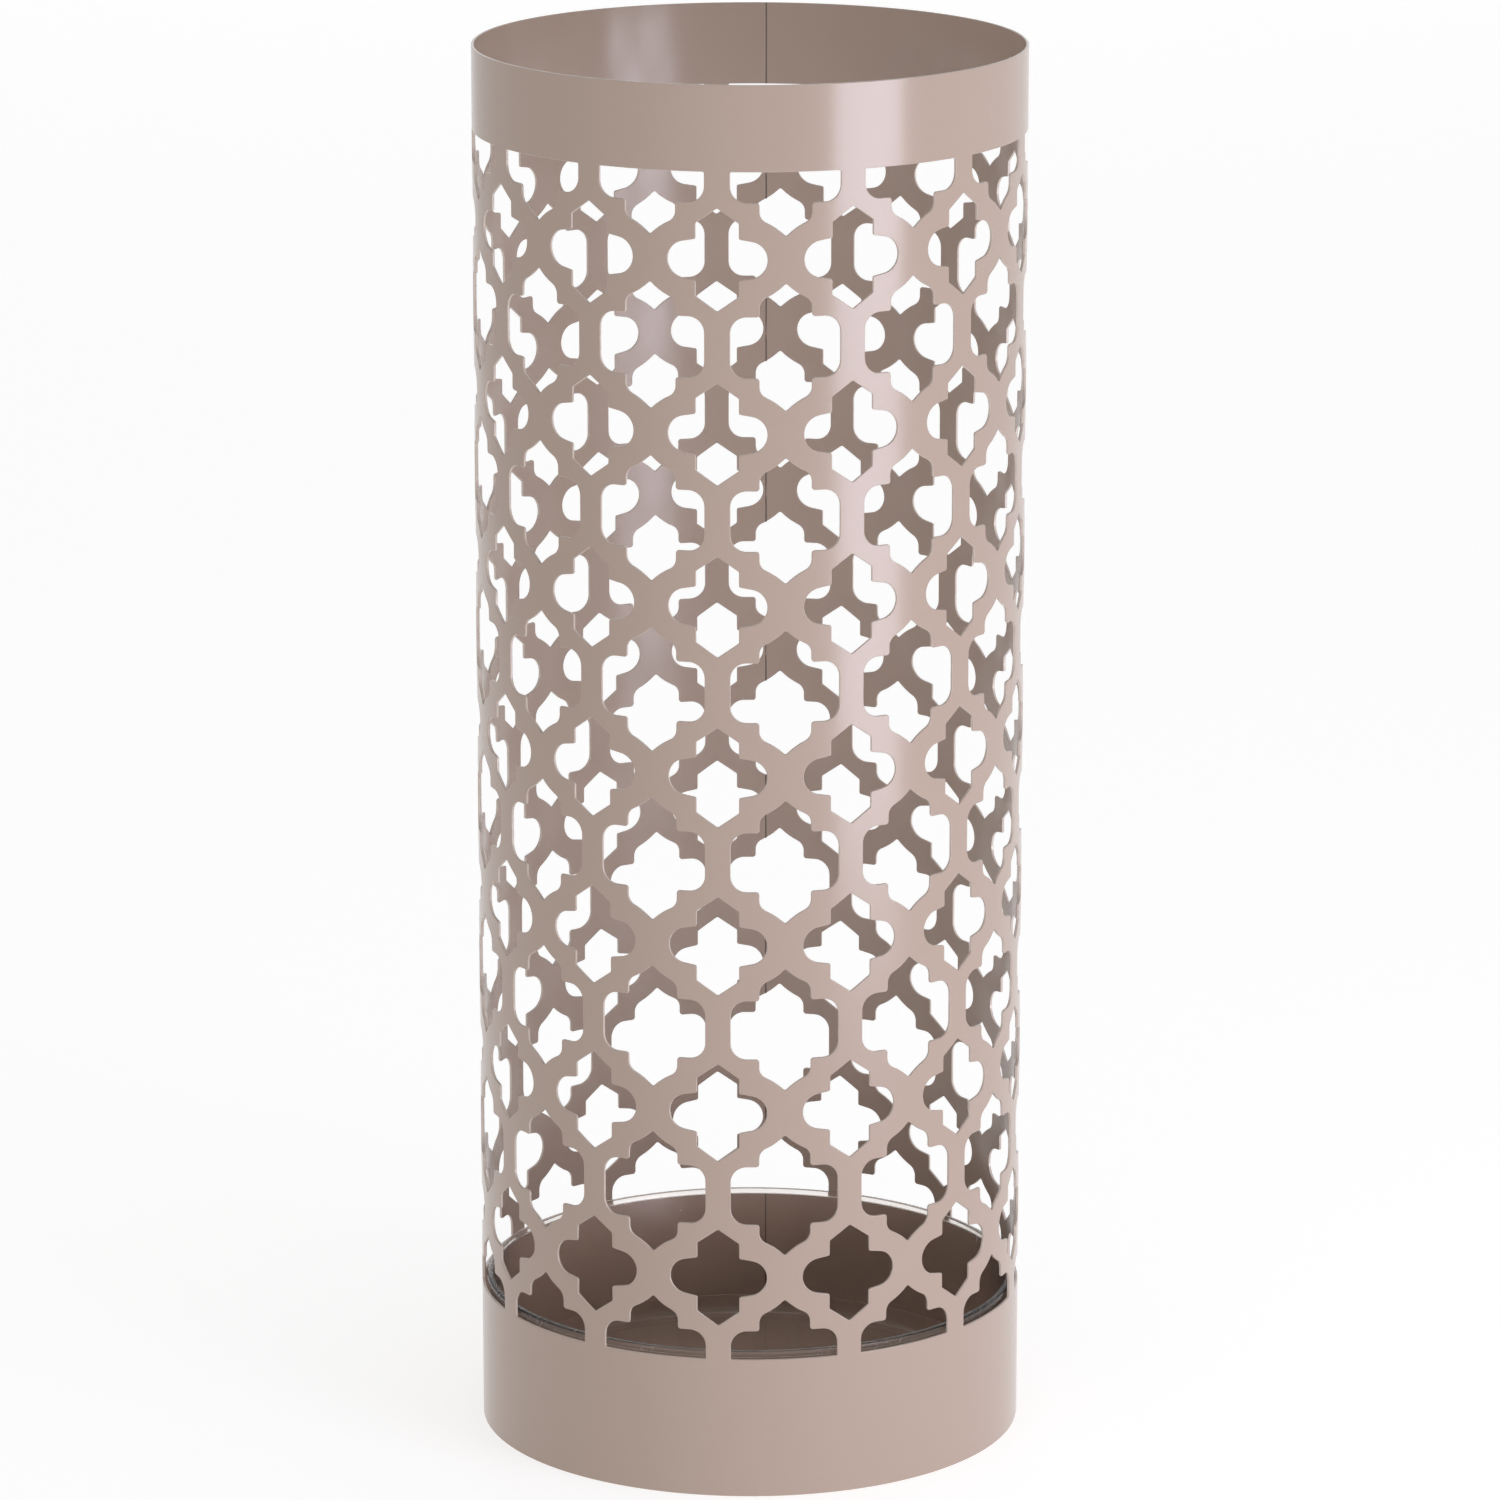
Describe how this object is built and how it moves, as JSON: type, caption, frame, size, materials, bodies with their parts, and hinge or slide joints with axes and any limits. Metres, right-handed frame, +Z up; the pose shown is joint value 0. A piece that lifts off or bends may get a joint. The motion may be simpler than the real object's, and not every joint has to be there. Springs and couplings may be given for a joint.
{
  "type": "umbrella stand",
  "caption": "Tall round umbrella stand: a steel tube pierced with an ogee lattice between plain bands, with a lift-out clear drip tray in its base.",
  "frame": {"origin": "centre of the underside, on the ground", "axes": "+Z up the tube to the mouth, the front faces -Y, the welded seam is at the back, +Y"},
  "size_m": [0.194, 0.194, 0.5],
  "materials": {
    "taupe_paint": "satin powder coat",
    "seam_paint": "satin powder coat, thin in the joint",
    "floor_paint": "satin powder coat",
    "clear_plastic": "clear gloss"
  },
  "bodies": {
    "stand": {"outer_shell": "taupe_paint", "seam_weld": "seam_paint", "base_plate": "floor_paint"},
    "tray": {"drip_tray": "clear_plastic"}
  },
  "joints": [
    {"name": "tray_lift", "type": "slide", "parent": "stand", "child": "tray", "axis": [0, 0, 1], "range_m": [0, 0.5]}
  ]
}
